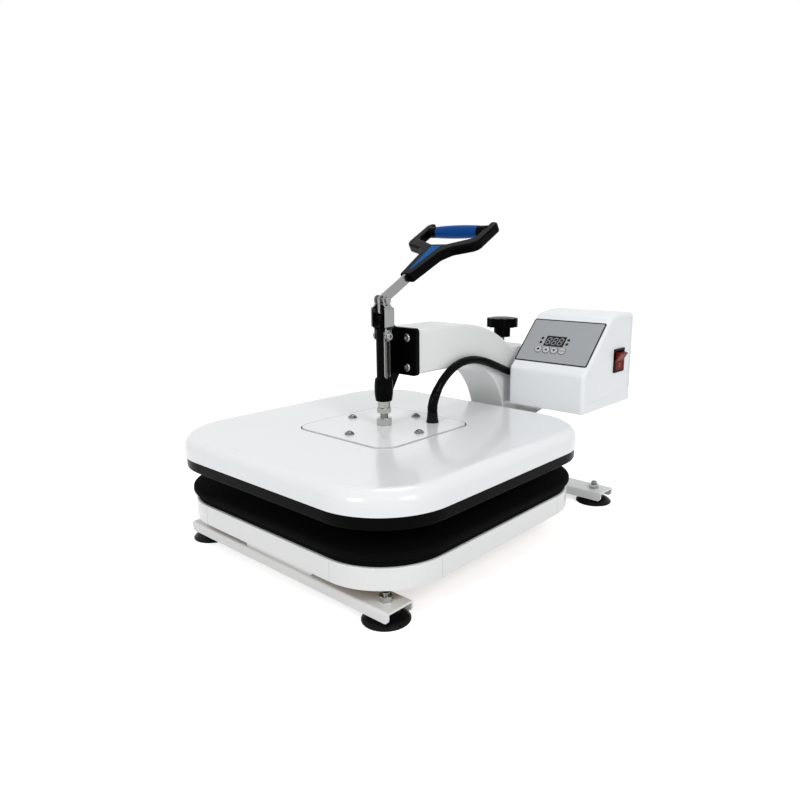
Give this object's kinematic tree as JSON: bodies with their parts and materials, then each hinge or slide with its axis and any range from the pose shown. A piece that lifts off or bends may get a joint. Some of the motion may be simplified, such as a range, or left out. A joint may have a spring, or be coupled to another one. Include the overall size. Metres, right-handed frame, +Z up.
{
  "type": "swing-away heat press",
  "caption": "Swing-away heat press: padded table on suction feet, post and gooseneck arm, toggle lever with stirrup handle, heated platen, side control box.",
  "frame": {"origin": "middle of the machine's outline on the surface it stands on", "axes": "+Z up, the press faces -Y, +X is its right side where the control box hangs"},
  "size_m": [0.4, 0.559, 0.397],
  "materials": {
    "white_paint": "gloss",
    "white_plastic": "gloss",
    "black_paint": "satin",
    "black_plastic": "satin",
    "black_rubber": "matt",
    "black_silicone": "matt",
    "black_sponge": "matt",
    "black_cable": "satin",
    "black_platen": "satin",
    "zinc_steel": "satin",
    "chrome": "polished",
    "bronze": "satin",
    "board": "matt",
    "blue_plastic": "gloss",
    "blue_grip": "satin",
    "panel_grey": "satin",
    "display": "gloss",
    "lamp": "gloss",
    "circuit_board": "satin",
    "red_plastic": "gloss",
    "button_white": "satin",
    "glass_wool": "matt"
  },
  "bodies": {
    "base": {"front_leg_channel": "white_paint", "rear_leg_channel": "white_paint", "suction_feet": "black_rubber", "foot_studs": "zinc_steel", "base_nuts": "zinc_steel", "base_beam": "white_paint", "base_bolts": "zinc_steel", "table_tray": "white_paint", "table_board": "board", "sponge_layer": "black_sponge", "press_pad": "black_silicone", "post_socket": "white_paint", "swing_post": "zinc_steel", "thrust_washer": "bronze"},
    "swing_arm": {"swing_sleeve": "white_paint", "sleeve_cap": "white_paint", "sleeve_bushes": "bronze", "gooseneck_arm": "white_paint", "press_bracket": "black_paint", "bracket_bolts": "zinc_steel", "lever_pivot_pin": "zinc_steel", "box_bracket": "white_paint", "box_tray": "white_plastic", "box_shell": "white_plastic", "box_screws": "zinc_steel", "panel_overlay": "panel_grey", "display_window": "display", "panel_lamps": "lamp", "control_board": "circuit_board", "switch_bezel": "black_plastic", "mains_inlet": "black_plastic", "cable_gland": "black_plastic", "heater_cable": "black_cable"},
    "lever": {"lever_bar": "zinc_steel", "link_pin": "zinc_steel", "stirrup_handle": "black_plastic", "handle_inlay": "blue_plastic", "handle_grip": "blue_grip"},
    "links": {"toggle_links": "zinc_steel", "link_screws": "zinc_steel"},
    "head": {"plunger": "chrome", "plunger_pin": "zinc_steel", "lock_collar": "zinc_steel", "lock_nut": "zinc_steel", "hub_nut": "zinc_steel", "adjusting_rod": "zinc_steel", "heating_platen": "black_platen", "platen_spacers": "zinc_steel", "heater_blanket": "glass_wool", "platen_cap": "white_paint", "cover_plate": "white_paint", "cover_screws": "zinc_steel", "cable_boot": "black_rubber"},
    "lock_knob": {"star_knob": "black_plastic", "knob_screw": "zinc_steel"},
    "power_rocker": {"power_rocker": "red_plastic"},
    "set_button": {"set_button": "button_white"},
    "plus_button": {"plus_button": "button_white"},
    "minus_button": {"minus_button": "button_white"},
    "start_button": {"start_button": "button_white"}
  },
  "joints": [
    {"name": "arm_swing", "type": "hinge", "parent": "base", "child": "swing_arm", "pos_m": [0, 0.1765, 0.079], "axis": [0, 0, 1], "range_deg": [-110, 110]},
    {"name": "lever_pull", "type": "hinge", "parent": "swing_arm", "child": "lever", "pos_m": [0, -0.0795, 0.28807], "axis": [1, 0, 0], "range_deg": [0, 165]},
    {"name": "link_turn", "type": "hinge", "parent": "lever", "child": "links", "pos_m": [0, -0.0795, 0.3008], "axis": [1, 0, 0], "range_deg": [-160.72, 0]},
    {"name": "head_press", "type": "slide", "parent": "swing_arm", "child": "head", "axis": [0, 0, 1], "range_m": [-0.0249, 0]},
    {"name": "knob_turn", "type": "hinge", "parent": "swing_arm", "child": "lock_knob", "pos_m": [0, 0.1765, 0.23], "axis": [0, 0, 1], "range_deg": [0, 360]},
    {"name": "rocker_tip", "type": "hinge", "parent": "swing_arm", "child": "power_rocker", "pos_m": [0.1642, 0.2335, 0.206], "axis": [0, 1, 0], "range_deg": [-30, 0]},
    {"name": "set_press", "type": "slide", "parent": "swing_arm", "child": "set_button", "axis": [0, 0.7071, -0.7071], "range_m": [0, 0.0006], "stiffness_N_per_m": 800},
    {"name": "plus_press", "type": "slide", "parent": "swing_arm", "child": "plus_button", "axis": [0, 0.7071, -0.7071], "range_m": [0, 0.0006], "stiffness_N_per_m": 800},
    {"name": "minus_press", "type": "slide", "parent": "swing_arm", "child": "minus_button", "axis": [0, 0.7071, -0.7071], "range_m": [0, 0.0006], "stiffness_N_per_m": 800},
    {"name": "start_press", "type": "slide", "parent": "swing_arm", "child": "start_button", "axis": [0, 0.7071, -0.7071], "range_m": [0, 0.0006], "stiffness_N_per_m": 800}
  ],
  "couplings": [
    {"joint": "link_turn", "follows": "lever_pull", "ratio": -0.97397},
    {"joint": "head_press", "follows": "lever_pull", "m_per_rad": -0.0086474}
  ]
}
